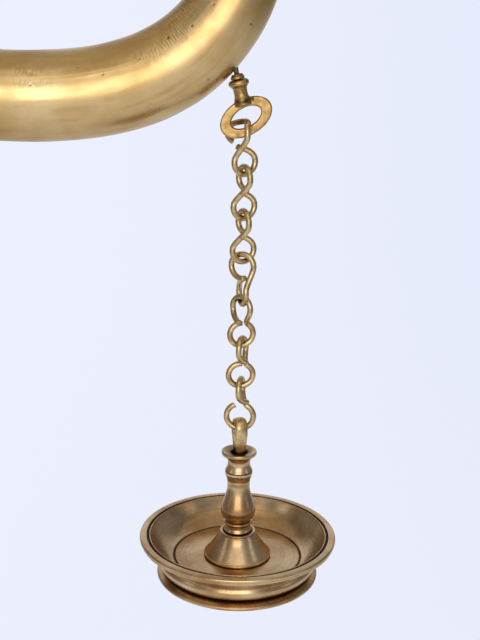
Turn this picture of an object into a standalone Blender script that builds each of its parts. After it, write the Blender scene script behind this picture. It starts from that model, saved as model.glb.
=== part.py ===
"""Hanging brass balance scale.

A hollow crescent ring is the beam. It hangs by an eye screw from a plain hanging ring, and an eye
screw low on each side carries a chain of figure-8 wire links and a turned pan with a baluster stem.

Metres, +Z up, +X towards the right-hand pan, -Y towards the front. The origin is the point on the
inside of the hanging ring where a hook bears. Every name that starts with right_ or left_ belongs
to the chain or pan of that side.
"""
import math

import bmesh
import bpy
from mathutils import Matrix, Vector

# Clearances
GAP = 0.0003                    # between pieces that touch
OVERCUT = 0.004                 # how far a drill runs past the wall it cuts

# Hanging ring
HANGER_RADIUS = 0.018           # to the middle of its wire
HANGER_WIRE = 0.005

# Beam: a closed ring whose radius of turn changes with the direction of its centre line
BEAM_BOTTOM_TURN = 0.287        # radius of turn at the very bottom
BEAM_SIDE_TURN = 0.0966         # radius of turn of the two ends
BEAM_BOTTOM_SHARPNESS = 37      # how fast the flat bottom gives way to the round ends
BEAM_BOTTOM_TUBE = 0.0273       # outer radius of the tube at the bottom
BEAM_TOP_TUBE = 0.008           # outer radius of the tube at the top
BEAM_TAPER = 1.1                # how the tube thins on its way up
BEAM_WALL = 0.0022
BEAM_STATIONS = 56
EYE_PLACE = math.radians(46.7)  # direction of the centre line where a lower eye screw sits

# Eye screws: an oval bow on a turned neck
BOW_HALF_LENGTH = 0.0170
BOW_HALF_WIDTH = 0.0108
BOW_HOLE_HALF_LENGTH = 0.0098
BOW_HOLE_HALF_WIDTH = 0.0051
BOW_THICKNESS = 0.0044
BOW_EDGE = 0.0014
BOW_TILT = math.radians(31)     # of the lower bows
EYE_LEAN = math.radians(13.4)   # of the lower necks
NECK_RADIUS = 0.0041
COLLAR_RADIUS = 0.0063
COLLAR_FOOT = 0.0186            # from the middle of the bow
COLLAR_TOP = 0.0226
STUD_RADIUS = 0.0016
STUD_DEPTH = 0.006              # into the tube, past its outer surface
FERRULE_BASE_RADIUS = 0.0042
FERRULE_TIP_RADIUS = 0.0030
FERRULE_LENGTH = 0.0030
SEAT_OFFSET = 0.0003            # how much nearer the beam's middle the chain hangs than the bow

# Chain
WIRE = 0.0037
LOOP_RADIUS = 0.0081            # to the middle of the wire
HOOK_RADIUS = 0.0091            # the lower loop of the last link, which is a little wider
HOOK_DROP = 0.0018              # how much lower that loop hangs than the others do
LINK_REACH = 0.0314             # from the top wire's middle to the bottom wire's middle
LOOP_SWEEP = math.radians(147)  # of a loop's wire, from its seat to its cut end and to the crossing
LOOP_STATIONS = 5               # on each side of a loop's seat
LOOP_CROWDING = 1.35            # above 1, the stations stand closer together near the seat
# The turn about the vertical, in degrees, of each link's upper and lower loop
LINK_TURNS = ((-80, 35), (-60, 30), (-62, 32), (-34, 66), (-50, 20), (-70, 8), (-80, 3))
# Whether a link swings about the wire it hangs on, or about its own top wire
SWINGS_ON_PARENT = (True, False, True, False, True, False, False)

# Pan, heights above the top of its floor
PAN_RADIUS = 0.065
PAN_RIM_HEIGHT = 0.0154
PAN_RIM_WIDTH = 0.0050
PAN_FLOOR_RADIUS = 0.042
PAN_FLOOR_THICKNESS = 0.0028
FOOT_WAIST_RADIUS = 0.0486
FOOT_RADIUS = 0.0535
FOOT_DEPTH = 0.0127             # from the floor's top down to the underside of the foot
FOOT_RING_HEIGHT = 0.0042
FOOT_RING_WIDTH = 0.0075
BELL_RADIUS = 0.0222
BELL_TOP_RADIUS = 0.0122
BELL_HEIGHT = 0.0178
TENON_RADIUS = 0.0040
NUT_RADIUS = 0.0075
NUT_HEIGHT = 0.0040
STEM_HEIGHT = 0.0742            # of the flange on top of the stem
BULB_RADIUS = 0.0114
KNOP_RADIUS = 0.0090
FLANGE_RADIUS = 0.0115
SOCKET_RADIUS = 0.0053
SOCKET_DEPTH = 0.0128
LOOP_HEIGHT = 0.0226            # of the pan's loop above the flange
STRAP_WIDTH = 0.0082
STRAP_THICKNESS = 0.0046
STRAP_TAPER = 0.76              # size of the legs' section against the bend's
STRAP_TURN = math.radians(-82)

COLOURS = {
    "cast_brass": ((0.55, 0.38, 0.14), 0.25),
    "eye_brass": ((0.45, 0.29, 0.10), 0.35),
    "wire_brass": ((0.47, 0.31, 0.12), 0.32),
    "antique_brass": ((0.33, 0.21, 0.09), 0.38),
}


# ---------------------------------------------------------------------------------- scene and tools

def clear_scene():
    for old in list(bpy.data.objects):
        bpy.data.objects.remove(old, do_unlink=True)


def make_collection(name):
    collection = bpy.data.collections.new(name)
    bpy.context.scene.collection.children.link(collection)
    return collection


def make_material(name, colour, roughness):
    material = bpy.data.materials.new(name)
    material.use_nodes = True
    shader = material.node_tree.nodes["Principled BSDF"]
    shader.inputs["Base Color"].default_value = (*colour, 1.0)
    shader.inputs["Metallic"].default_value = 1.0
    shader.inputs["Roughness"].default_value = roughness
    return material


def add_object(name, data, material, matrix=None):
    """Link a new object for the data into the scale's collection."""
    part = bpy.data.objects.new(name, data)
    SCALE.objects.link(part)
    if matrix is not None:
        part.matrix_world = matrix
    data.materials.append(MATERIALS[material])
    return part


def shade(mesh):
    mesh.shade_smooth()
    mesh.set_sharp_from_angle(angle=math.radians(40))


def as_cutter(part):
    """Move an object to the cutters' collection and keep it out of the model."""
    for collection in list(part.users_collection):
        collection.objects.unlink(part)
    CUTTERS.objects.link(part)
    part.hide_render = True
    part.display_type = "WIRE"
    return part


def boolean(part, other, operation):
    cut = part.modifiers.new(operation.title() + "_" + other.name, "BOOLEAN")
    cut.operation = operation
    cut.object = other
    cut.solver = "EXACT"


def meshed(part):
    """Replace a curve object by a mesh object of the same name, with its caps welded."""
    bpy.context.view_layer.update()
    name, matrix = part.name, part.matrix_world.copy()
    mesh = bpy.data.meshes.new_from_object(part.evaluated_get(bpy.context.evaluated_depsgraph_get()))
    shell = bmesh.new()
    shell.from_mesh(mesh)
    bmesh.ops.remove_doubles(shell, verts=shell.verts, dist=0.00001)
    bmesh.ops.recalc_face_normals(shell, faces=shell.faces)
    shell.to_mesh(mesh)
    shell.free()
    collection = part.users_collection[0]
    bpy.data.objects.remove(part, do_unlink=True)
    solid = bpy.data.objects.new(name, mesh)
    collection.objects.link(solid)
    solid.matrix_world = matrix
    shade(mesh)
    return solid


def turned(name, profile, material, matrix, steps=24):
    """A turned piece: (radius, height) points from the top down the outside, closed round a bore."""
    mesh = bpy.data.meshes.new(name)
    bored = profile[0][0] > 0
    count = len(profile)
    edges = [(i, i + 1) for i in range(count - 1)] + ([(count - 1, 0)] if bored else [])
    mesh.from_pydata([(radius, 0.0, height) for radius, height in profile], edges, [])
    part = add_object(name, mesh, material, matrix)
    screw = part.modifiers.new("Turn", "SCREW")
    screw.steps = steps
    screw.render_steps = steps
    screw.use_merge_vertices = True
    screw.merge_threshold = 0.00001
    screw.use_smooth_shade = False
    return part


def wire_curve(name, points, radius, material, matrix=None, closed=False, radii=None, resolution=2):
    """Round wire or tube along a list of points, with an optional radius factor at each point."""
    curve = bpy.data.curves.new(name, "CURVE")
    curve.dimensions = "3D"
    curve.bevel_depth = radius
    curve.bevel_resolution = resolution
    curve.use_fill_caps = not closed
    spline = curve.splines.new("POLY")
    spline.points.add(len(points) - 1)
    spline.use_cyclic_u = closed
    for index, (station, point) in enumerate(zip(spline.points, points)):
        station.co = (*point, 1.0)
        station.radius = radii[index] if radii else 1.0
    return add_object(name, curve, material, matrix)


def flat_outline(name, outlines, thickness, edge, material, matrix):
    """A flat plate in its own XZ plane from closed outlines, the second of which is a hole."""
    curve = bpy.data.curves.new(name, "CURVE")
    curve.dimensions = "2D"
    curve.fill_mode = "BOTH"
    curve.extrude = thickness / 2
    for outline in outlines:
        spline = curve.splines.new("POLY")
        spline.points.add(len(outline) - 1)
        spline.use_cyclic_u = True
        for station, (across, up) in zip(spline.points, outline):
            station.co = (across, up, 0.0, 1.0)
    upright = Matrix.Rotation(math.radians(90), 4, "X")
    part = meshed(add_object(name, curve, material, matrix @ upright))
    part.data.materials.append(MATERIALS[material])
    bevel = part.modifiers.new("Edges", "BEVEL")
    bevel.width = edge
    bevel.segments = 2
    bevel.limit_method = "ANGLE"
    bevel.angle_limit = math.radians(50)
    return part


def ellipse(half_length, half_width, count):
    steps = [2 * math.pi * i / count for i in range(count)]
    return [(half_length * math.cos(a), half_width * math.sin(a)) for a in steps]


# --------------------------------------------------------------------------------------- the layout

def beam_half():
    """Centre line of the beam's right half from bottom to top, as (x, z, direction) from its bottom.

    The turn radius eases from the flat bottom to the round end, and then to a longer arch whose own
    radius closes the ring at the top.
    """
    fine = 20
    count = BEAM_STATIONS // 2
    step = math.pi / (count * fine)
    stations, x, z, arch = [(0.0, 0.0, 0.0)], 0.0, 0.0, None
    for i in range(count * fine):
        direction = (i + 0.5) * step
        if direction < math.pi / 2:
            ease = math.cos(direction) ** BEAM_BOTTOM_SHARPNESS
            turn = BEAM_SIDE_TURN + (BEAM_BOTTOM_TURN - BEAM_SIDE_TURN) * ease
        else:
            if arch is None:
                arch = BEAM_SIDE_TURN + (x - BEAM_SIDE_TURN) * 1.5
            turn = BEAM_SIDE_TURN + (arch - BEAM_SIDE_TURN) * math.cos(direction) ** 2
        x += turn * math.cos(direction) * step
        z += turn * math.sin(direction) * step
        if (i + 1) % fine == 0:
            stations.append((x, z, (i + 1) * step))
    stations[-1] = (0.0, z, math.pi)
    return stations


def tube_radius(direction):
    swell = math.cos(direction / 2) ** BEAM_TAPER if direction < math.pi else 0.0
    return BEAM_TOP_TUBE + (BEAM_BOTTOM_TUBE - BEAM_TOP_TUBE) * swell


def station_at(stations, direction):
    """The point of the centre line at a direction, between its two nearest stations."""
    for low, high in zip(stations, stations[1:]):
        if low[2] <= direction <= high[2]:
            share = (direction - low[2]) / (high[2] - low[2])
            return tuple(a + (b - a) * share for a, b in zip(low, high))
    raise ValueError("direction is not on the beam")


def hole_floor(offset):
    """Height of the lower edge of a tilted bow's hole, at an offset across it from the middle."""
    a, b = BOW_HOLE_HALF_LENGTH, BOW_HOLE_HALF_WIDTH
    cos, sin = math.cos(BOW_TILT), math.sin(BOW_TILT)
    square = (sin / a) ** 2 + (cos / b) ** 2
    cross = 2 * offset * sin * cos * (1 / a ** 2 - 1 / b ** 2)
    rest = offset ** 2 * ((cos / a) ** 2 + (sin / b) ** 2) - 1
    return (-cross - math.sqrt(cross ** 2 - 4 * square * rest)) / (2 * square)


def sag(half_width, radius):
    """How far a curve of that radius falls away over half a width."""
    return radius - math.sqrt(radius ** 2 - half_width ** 2)


def seat_rise():
    """How far a lower bow's rim climbs where the first link's wire crosses it at a slant."""
    slant = math.radians(-LINK_TURNS[0][0])
    crossing = BOW_THICKNESS / 2 / math.tan(slant) + WIRE / 4
    return hole_floor(crossing - SEAT_OFFSET) - hole_floor(-SEAT_OFFSET)


FERRULE_FOOT = COLLAR_TOP + GAP
FERRULE_TIP = FERRULE_FOOT + FERRULE_LENGTH
RIM_DEPTH = BOW_HALF_WIDTH - BOW_HOLE_HALF_WIDTH

HANGER_MIDDLE = -(HANGER_RADIUS - HANGER_WIRE / 2)
BEAM_PIVOT = HANGER_MIDDLE - HANGER_RADIUS
TOP_BOW_GAP = GAP + sag(BOW_THICKNESS / 2, HANGER_RADIUS + HANGER_WIRE / 2)
TOP_BOW = BEAM_PIVOT + HANGER_WIRE / 2 + TOP_BOW_GAP - BOW_HOLE_HALF_WIDTH
BEAM_TOP = TOP_BOW - FERRULE_TIP - GAP
BEAM_HALF = beam_half()
BEAM_BOTTOM = BEAM_TOP - BEAM_TOP_TUBE - BEAM_HALF[-1][1]

OBLIQUE = EYE_PLACE - EYE_LEAN
LOWER_REACH = FERRULE_TIP + FERRULE_TIP_RADIUS * math.tan(OBLIQUE) + GAP / math.cos(OBLIQUE)
EYE_STATION = station_at(BEAM_HALF, EYE_PLACE)
EYE_SURFACE_X = EYE_STATION[0] + tube_radius(EYE_PLACE) * math.sin(EYE_PLACE)
EYE_SURFACE_Z = BEAM_BOTTOM + EYE_STATION[1] - tube_radius(EYE_PLACE) * math.cos(EYE_PLACE)
BOW_X = EYE_SURFACE_X + LOWER_REACH * math.sin(EYE_LEAN)
BOW_Z = EYE_SURFACE_Z - LOWER_REACH * math.cos(EYE_LEAN)
CHAIN_X = BOW_X - SEAT_OFFSET
SEAT_Z = BOW_Z + hole_floor(-SEAT_OFFSET)

SEAT_GAP = GAP + sag(BOW_THICKNESS / 2, LOOP_RADIUS - WIRE / 2) + seat_rise()
LINK_GAP = GAP + sag(WIRE / 2, LOOP_RADIUS)
CHAIN_TOP = SEAT_Z + SEAT_GAP + WIRE / 2
LINK_PITCH = LINK_REACH - WIRE - LINK_GAP
HOOK_WIRE_Z = CHAIN_TOP - (len(LINK_TURNS) - 1) * LINK_PITCH - LINK_REACH - HOOK_DROP
STRAP_GAP = 1.8 * GAP
STRAP_TOP = HOOK_WIRE_Z + WIRE / 2 + STRAP_GAP + STRAP_THICKNESS
LOOP_TOP_RADIUS = WIRE / 2 + STRAP_GAP + STRAP_THICKNESS / 2
LEG_HALF_WIDTH = STRAP_WIDTH * STRAP_TAPER / 2
LEG_HALF_THICKNESS = STRAP_THICKNESS * STRAP_TAPER / 2
LEG_OUTSIDE = math.sqrt((SOCKET_RADIUS - GAP) ** 2 - LEG_HALF_WIDTH ** 2)
LEG_SPREAD = LEG_OUTSIDE - LEG_HALF_THICKNESS / 2
PAN_FLOOR = STRAP_TOP - LOOP_HEIGHT - STEM_HEIGHT


# ------------------------------------------------------------------------------- hanger and beam

def make_hanger():
    count = 32
    angles = [2 * math.pi * i / count for i in range(count)]
    points = [(0.0, HANGER_RADIUS * math.sin(a), HANGER_RADIUS * math.cos(a)) for a in angles]
    place = Matrix.Translation((0, 0, HANGER_MIDDLE))
    wire_curve("hanging_ring", points, HANGER_WIRE / 2, "wire_brass", place, closed=True)


def stud_matrix(side):
    """Frame of a lower eye screw: origin in the middle of its bow, +Z up its neck."""
    return Matrix.Translation((side * BOW_X, 0, BOW_Z)) @ Matrix.Rotation(-side * EYE_LEAN, 4, "Y")


def top_matrix():
    """Frame of the top eye screw, whose neck points down."""
    return Matrix.Translation((0, 0, TOP_BOW)) @ Matrix.Rotation(math.pi, 4, "Y")


def ring_tube(name, inset, resolution):
    """A closed tube along the whole beam, its radius smaller than the beam's by the inset."""
    left = [(-x, z, direction) for x, z, direction in reversed(BEAM_HALF[1:-1])]
    stations = BEAM_HALF + left
    pivot_height = BEAM_BOTTOM - BEAM_PIVOT
    points = [(x, 0.0, z + pivot_height) for x, z, direction in stations]
    largest = BEAM_BOTTOM_TUBE - inset
    radii = [(tube_radius(direction) - inset) / largest for x, z, direction in stations]
    place = Matrix.Translation((0, 0, BEAM_PIVOT))
    tube = wire_curve(name, points, largest, "cast_brass", place, True, radii, resolution)
    return meshed(tube)


def make_drill(name, matrix, reach):
    """A drill for a stud's hole, from outside the tube to just past the inside of its wall."""
    radius = STUD_RADIUS + GAP
    start = reach - OVERCUT
    length = STUD_DEPTH + 2 * OVERCUT
    profile = [(0, start + length), (radius, start + length), (radius, start), (0, start)]
    return as_cutter(turned(name, profile, "cast_brass", matrix, steps=12))


def make_beam():
    beam = ring_tube("beam_ring", 0.0, 7)
    beam.data.materials.append(MATERIALS["cast_brass"])
    boolean(beam, as_cutter(ring_tube("beam_hollow", BEAM_WALL, 2)), "DIFFERENCE")
    boolean(beam, make_drill("drill_top", top_matrix(), FERRULE_TIP + GAP), "DIFFERENCE")
    boolean(beam, make_drill("drill_right", stud_matrix(1), LOWER_REACH), "DIFFERENCE")
    boolean(beam, make_drill("drill_left", stud_matrix(-1), LOWER_REACH), "DIFFERENCE")


def make_eye(prefix, matrix, tilt, reach):
    """An eye screw with its bow, and the ferrule on its stud."""
    end = reach + STUD_DEPTH
    inside_rim = BOW_HOLE_HALF_WIDTH + RIM_DEPTH * 0.45
    neck = [
        (0.0, end), (STUD_RADIUS, end), (STUD_RADIUS, COLLAR_TOP), (COLLAR_RADIUS * 0.88, COLLAR_TOP),
        (COLLAR_RADIUS, COLLAR_TOP - 0.0006), (COLLAR_RADIUS, COLLAR_FOOT + 0.0010),
        (NECK_RADIUS + 0.0008, COLLAR_FOOT), (NECK_RADIUS, COLLAR_FOOT - 0.0022),
        (NECK_RADIUS, BOW_HALF_WIDTH + 0.0024), (NECK_RADIUS + 0.0006, BOW_HALF_WIDTH + 0.0002),
        (NECK_RADIUS * 0.7, inside_rim + 0.0006), (0.0, inside_rim),
    ]
    name = prefix + "_eye_screw"
    bow_place = matrix @ Matrix.Rotation(tilt, 4, "Y")
    outer = ellipse(BOW_HALF_LENGTH, BOW_HALF_WIDTH, 24)
    hole = ellipse(BOW_HOLE_HALF_LENGTH, BOW_HOLE_HALF_WIDTH, 20)
    bow = flat_outline(name, [outer, hole], BOW_THICKNESS, BOW_EDGE, "eye_brass", bow_place)
    shank = as_cutter(turned(prefix + "_neck", neck, "eye_brass", matrix, steps=14))
    boolean(bow, shank, "UNION")
    bore = STUD_RADIUS + GAP
    cone = [
        (bore, FERRULE_TIP), (FERRULE_TIP_RADIUS, FERRULE_TIP), (FERRULE_TIP_RADIUS, FERRULE_TIP - 0.001),
        (FERRULE_BASE_RADIUS, FERRULE_FOOT + 0.0014), (FERRULE_BASE_RADIUS, FERRULE_FOOT),
        (bore, FERRULE_FOOT),
    ]
    turned(prefix + "_eye_ferrule", cone, "eye_brass", matrix, steps=14)


# ----------------------------------------------------------------------------------------- chain

def turn_vector(degrees):
    angle = math.radians(degrees)
    return Vector((math.cos(angle), math.sin(angle), 0.0))


def loop_arc(across, radius, centre, direction):
    """Points of one loop from its cut end round to the crossing, above (1) or below (-1) it."""
    points = []
    for i in range(-LOOP_STATIONS, LOOP_STATIONS + 1):
        share = abs(i) / LOOP_STATIONS
        angle = math.pi / 2 + math.copysign(LOOP_SWEEP * share ** LOOP_CROWDING, i)
        height = direction * (centre + radius * math.sin(angle))
        points.append(across * radius * math.cos(angle) + Vector((0, 0, height)))
    return points


def link_points(turns, lower_radius, drop):
    """The wire of one figure-8 link, about the point midway between its two end wires."""
    lower_centre = LINK_REACH / 2 + drop - lower_radius
    upper = loop_arc(turn_vector(turns[0]), LOOP_RADIUS, LINK_REACH / 2 - LOOP_RADIUS, 1)
    lower = loop_arc(-turn_vector(turns[1]), lower_radius, lower_centre, -1)
    return upper + [Vector((0, 0, 0))] + lower[::-1]


def link_pivot(index):
    """Height of the axis that a link of the chain swings on."""
    top_wire = CHAIN_TOP - index * LINK_PITCH
    if index == 0:
        return SEAT_Z - RIM_DEPTH / 2
    return top_wire - WIRE - LINK_GAP if SWINGS_ON_PARENT[index] else top_wire


def make_chain(prefix, side):
    last = len(LINK_TURNS) - 1
    for index, turns in enumerate(LINK_TURNS):
        pivot = link_pivot(index)
        middle = CHAIN_TOP - index * LINK_PITCH - LINK_REACH / 2
        lower_radius, drop = (HOOK_RADIUS, HOOK_DROP) if index == last else (LOOP_RADIUS, 0.0)
        middle_above = Vector((0, 0, middle - pivot))
        points = [p + middle_above for p in link_points(turns, lower_radius, drop)]
        place = Matrix.Translation((side * CHAIN_X, 0, pivot))
        wire_curve(f"{prefix}_link_{index + 1}", points, WIRE / 2, "wire_brass", place)


# ------------------------------------------------------------------------------------------- pan

def dish_profile():
    rim_inside = PAN_RADIUS - PAN_RIM_WIDTH
    wall_run = rim_inside - PAN_FLOOR_RADIUS
    bore = TENON_RADIUS + GAP
    waist = FOOT_WAIST_RADIUS
    foot_top = -FOOT_DEPTH + FOOT_RING_HEIGHT + GAP
    return [
        (bore, 0.0), (PAN_FLOOR_RADIUS, 0.0),
        (PAN_FLOOR_RADIUS + wall_run * 0.25, PAN_RIM_HEIGHT * 0.12),
        (PAN_FLOOR_RADIUS + wall_run * 0.62, PAN_RIM_HEIGHT * 0.50),
        (rim_inside, PAN_RIM_HEIGHT - 0.0006), (rim_inside + 0.0006, PAN_RIM_HEIGHT),
        (PAN_RADIUS - 0.0006, PAN_RIM_HEIGHT), (PAN_RADIUS, PAN_RIM_HEIGHT - 0.0008),
        (PAN_RADIUS, PAN_RIM_HEIGHT - 0.0030), (PAN_RADIUS - 0.0014, PAN_RIM_HEIGHT - 0.0042),
        (waist + (PAN_RADIUS - waist) * 0.52, PAN_RIM_HEIGHT * 0.52),
        (waist + (PAN_RADIUS - waist) * 0.20, PAN_RIM_HEIGHT * 0.16),
        (waist + 0.0018, -0.0010), (waist + 0.0016, foot_top + 0.0026), (waist, foot_top),
        (waist - 0.0030, foot_top), (waist - 0.0030, -PAN_FLOOR_THICKNESS),
        (bore, -PAN_FLOOR_THICKNESS),
    ]


def foot_profile():
    top = -FOOT_DEPTH + FOOT_RING_HEIGHT
    inside = FOOT_RADIUS - FOOT_RING_WIDTH
    return [
        (inside, top), (FOOT_WAIST_RADIUS, top), (FOOT_WAIST_RADIUS + 0.0020, top - 0.0005),
        (FOOT_RADIUS - 0.0008, top - 0.0018), (FOOT_RADIUS, top - 0.0030),
        (FOOT_RADIUS - 0.0004, -FOOT_DEPTH), (inside, -FOOT_DEPTH),
    ]


def bell_profile():
    bore = TENON_RADIUS + GAP
    flare = BELL_RADIUS - BELL_TOP_RADIUS
    return [
        (bore, BELL_HEIGHT), (BELL_TOP_RADIUS - 0.0008, BELL_HEIGHT),
        (BELL_TOP_RADIUS, BELL_HEIGHT - 0.0008),
        (BELL_TOP_RADIUS + flare * 0.30, BELL_HEIGHT * 0.64),
        (BELL_TOP_RADIUS + flare * 0.58, BELL_HEIGHT * 0.34),
        (BELL_TOP_RADIUS + flare * 0.90, BELL_HEIGHT * 0.12),
        (BELL_RADIUS, 0.0013), (BELL_RADIUS, GAP), (bore, GAP),
    ]


def stem_profile():
    """Flange, knop, waist, bulb and collar, then the tenon through the bell and the dish."""
    foot = BELL_HEIGHT + GAP
    rise = STEM_HEIGHT - foot
    neck = SOCKET_RADIUS + 0.0020
    floor = STEM_HEIGHT - SOCKET_DEPTH - 0.0028
    tenon_end = -PAN_FLOOR_THICKNESS - NUT_HEIGHT - 0.0012
    return [
        (0.0, floor), (SOCKET_RADIUS, floor), (SOCKET_RADIUS, STEM_HEIGHT - 0.0028),
        (FLANGE_RADIUS - 0.0012, STEM_HEIGHT), (FLANGE_RADIUS, STEM_HEIGHT - 0.0006),
        (FLANGE_RADIUS - 0.0006, STEM_HEIGHT - 0.0028), (neck + 0.0008, STEM_HEIGHT - 0.0060),
        (neck, STEM_HEIGHT - 0.0088), (KNOP_RADIUS - 0.0006, foot + rise * 0.79),
        (KNOP_RADIUS, foot + rise * 0.745), (KNOP_RADIUS - 0.0012, foot + rise * 0.675),
        (BULB_RADIUS * 0.64, foot + rise * 0.57), (BULB_RADIUS * 0.82, foot + rise * 0.47),
        (BULB_RADIUS, foot + rise * 0.33), (BULB_RADIUS * 0.96, foot + rise * 0.24),
        (BULB_RADIUS * 0.73, foot + rise * 0.135), (BULB_RADIUS * 0.90, foot + rise * 0.09),
        (BULB_RADIUS * 0.90, foot + rise * 0.045), (BULB_RADIUS * 0.80, foot),
        (TENON_RADIUS, foot), (TENON_RADIUS, tenon_end), (0.0, tenon_end),
    ]


def strap_path():
    """Middle line of the bent strap from one foot over to the other, with its section's size."""
    foot = -(LOOP_HEIGHT + SOCKET_DEPTH + 0.0028) + GAP
    top = LOOP_TOP_RADIUS
    arch = -top - STRAP_THICKNESS / 2
    leg = [
        (LEG_SPREAD, foot, STRAP_TAPER), (LEG_SPREAD, -LOOP_HEIGHT, STRAP_TAPER),
        (LEG_SPREAD + (top - LEG_SPREAD) * 0.6, -LOOP_HEIGHT * 0.68, (STRAP_TAPER + 1) / 2),
        (top, -LOOP_HEIGHT * 0.45, 1.0), (top, arch, 1.0),
    ]
    bends = [math.pi * i / 8 for i in range(1, 8)]
    over = [(top * math.cos(a), arch + top * math.sin(a), 1.0) for a in bends]
    return leg + over + [(-across, up, size) for across, up, size in reversed(leg)]


def make_pan(prefix, side):
    place = Matrix.Translation((side * CHAIN_X, 0, PAN_FLOOR))
    turned(prefix + "_pan_dish", dish_profile(), "antique_brass", place, steps=36)
    turned(prefix + "_pan_foot_ring", foot_profile(), "antique_brass", place, steps=36)
    turned(prefix + "_pan_bell", bell_profile(), "antique_brass", place, steps=24)
    turned(prefix + "_pan_stem", stem_profile(), "antique_brass", place, steps=16)
    nut_top = -PAN_FLOOR_THICKNESS - GAP
    bore = TENON_RADIUS + GAP
    nut = [(bore, nut_top), (NUT_RADIUS, nut_top), (NUT_RADIUS, nut_top - NUT_HEIGHT),
           (bore, nut_top - NUT_HEIGHT)]
    turned(prefix + "_pan_nut", nut, "eye_brass", place, steps=12)
    strap_place = Matrix.Translation((side * CHAIN_X, 0, STRAP_TOP)) @ Matrix.Rotation(STRAP_TURN, 4, "Z")
    widen = Matrix.Scale(STRAP_WIDTH / STRAP_THICKNESS, 4, (0, 1, 0))
    path = strap_path()
    points = [(across, 0.0, up) for across, up, size in path]
    wire_curve(prefix + "_pan_loop", points, STRAP_THICKNESS / 2, "wire_brass", strap_place @ widen,
               radii=[size for across, up, size in path])


# ------------------------------------------------------------------------------------------ build

clear_scene()
SCALE = make_collection("brass_balance_scale")
CUTTERS = make_collection("cutters")
MATERIALS = {name: make_material(name, *look) for name, look in COLOURS.items()}

make_hanger()
make_beam()
make_eye("top", top_matrix(), 0.0, FERRULE_TIP + GAP)
for side_name, side_sign in (("right", 1), ("left", -1)):
    lean_back = side_sign * (EYE_LEAN - BOW_TILT)
    make_eye(side_name, stud_matrix(side_sign), lean_back, LOWER_REACH)
    make_chain(side_name, side_sign)
    make_pan(side_name, side_sign)
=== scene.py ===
"""Looks of a hanging brass balance scale, built around its packed frame."""

import math
import random

import bpy
from bpy.props import FloatProperty, FloatVectorProperty, PointerProperty
from mathutils import Matrix, Vector, noise


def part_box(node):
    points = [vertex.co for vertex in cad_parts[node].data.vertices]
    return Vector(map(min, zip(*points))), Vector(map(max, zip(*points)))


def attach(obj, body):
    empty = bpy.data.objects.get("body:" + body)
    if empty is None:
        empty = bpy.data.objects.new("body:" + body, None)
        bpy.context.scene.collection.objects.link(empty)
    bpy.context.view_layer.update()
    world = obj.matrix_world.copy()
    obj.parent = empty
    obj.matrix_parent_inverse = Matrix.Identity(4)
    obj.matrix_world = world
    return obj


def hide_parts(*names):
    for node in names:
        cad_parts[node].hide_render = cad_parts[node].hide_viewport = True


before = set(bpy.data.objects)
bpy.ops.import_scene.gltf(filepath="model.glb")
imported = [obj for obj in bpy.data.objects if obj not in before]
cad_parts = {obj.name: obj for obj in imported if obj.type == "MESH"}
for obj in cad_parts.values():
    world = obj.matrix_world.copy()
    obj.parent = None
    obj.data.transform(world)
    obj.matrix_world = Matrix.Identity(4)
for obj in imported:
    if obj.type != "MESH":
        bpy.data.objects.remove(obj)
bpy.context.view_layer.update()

bl_info = {
    "name": "Hanging balance scale",
    "version": (1, 0, 0),
    "blender": (4, 5, 0),
    "location": "3D View > Sidebar > Balance scale",
    "description": "Adds the beam, eye screws, chains and pans of a hanging brass balance scale",
    "category": "Add Mesh",
}

SIDES = ("right", "left")
LINKS = 7
MM = 0.001
UP = Vector((0, 0, 1))
BACK = Vector((0, 1, 0))
RIGHT = Vector((1, 0, 0))


# ---------------------------------------- sizes and colours

def linear(code):
    """Linear red, green and blue of an sRGB hex colour."""
    channels = [int(code[i:i + 2], 16) / 255 for i in (1, 3, 5)]
    return tuple(c / 12.92 if c <= 0.04045 else ((c + 0.055) / 1.055) ** 2.4 for c in channels)


def length(name, millimetres, about):
    return FloatProperty(name=name, description=about, default=millimetres * MM, unit="LENGTH",
                         subtype="DISTANCE", precision=5)


def turn(name, degrees, about):
    return FloatProperty(name=name, description=about, default=math.radians(degrees),
                         unit="ROTATION", subtype="ANGLE")


def share(name, value, about):
    return FloatProperty(name=name, description=about, default=value)


def colour(name, code, about):
    return FloatVectorProperty(name=name, description=about, default=linear(code), size=3,
                               subtype="COLOR", min=0, max=1)


class BeamSizes(bpy.types.PropertyGroup):
    """Sizes of the crescent beam and the ring it hangs from"""

    bottom_turn: length("Bottom turn", 287, "Radius of turn of the centre line at the bottom")
    side_turn: length("Side turn", 96.6, "Radius of turn of the centre line at the two ends")
    bottom_sharpness: share("Bottom sharpness", 37, "How fast the flat bottom gives way")
    bottom_tube: length("Bottom tube", 27.3, "Outer radius of the tube at the bottom")
    top_tube: length("Top tube", 8, "Outer radius of the tube at the top")
    taper: share("Taper", 1.1, "How the tube thins on its way up")
    waviness: length("Waviness", 0.62, "Height of the shallow waves that hand finishing leaves")
    crest: length("Crest", 0.42, "Height of the faint crest along the front of the tube")
    hanger_wire: length("Hanger wire", 5, "Thickness of the hanging ring")


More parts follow.
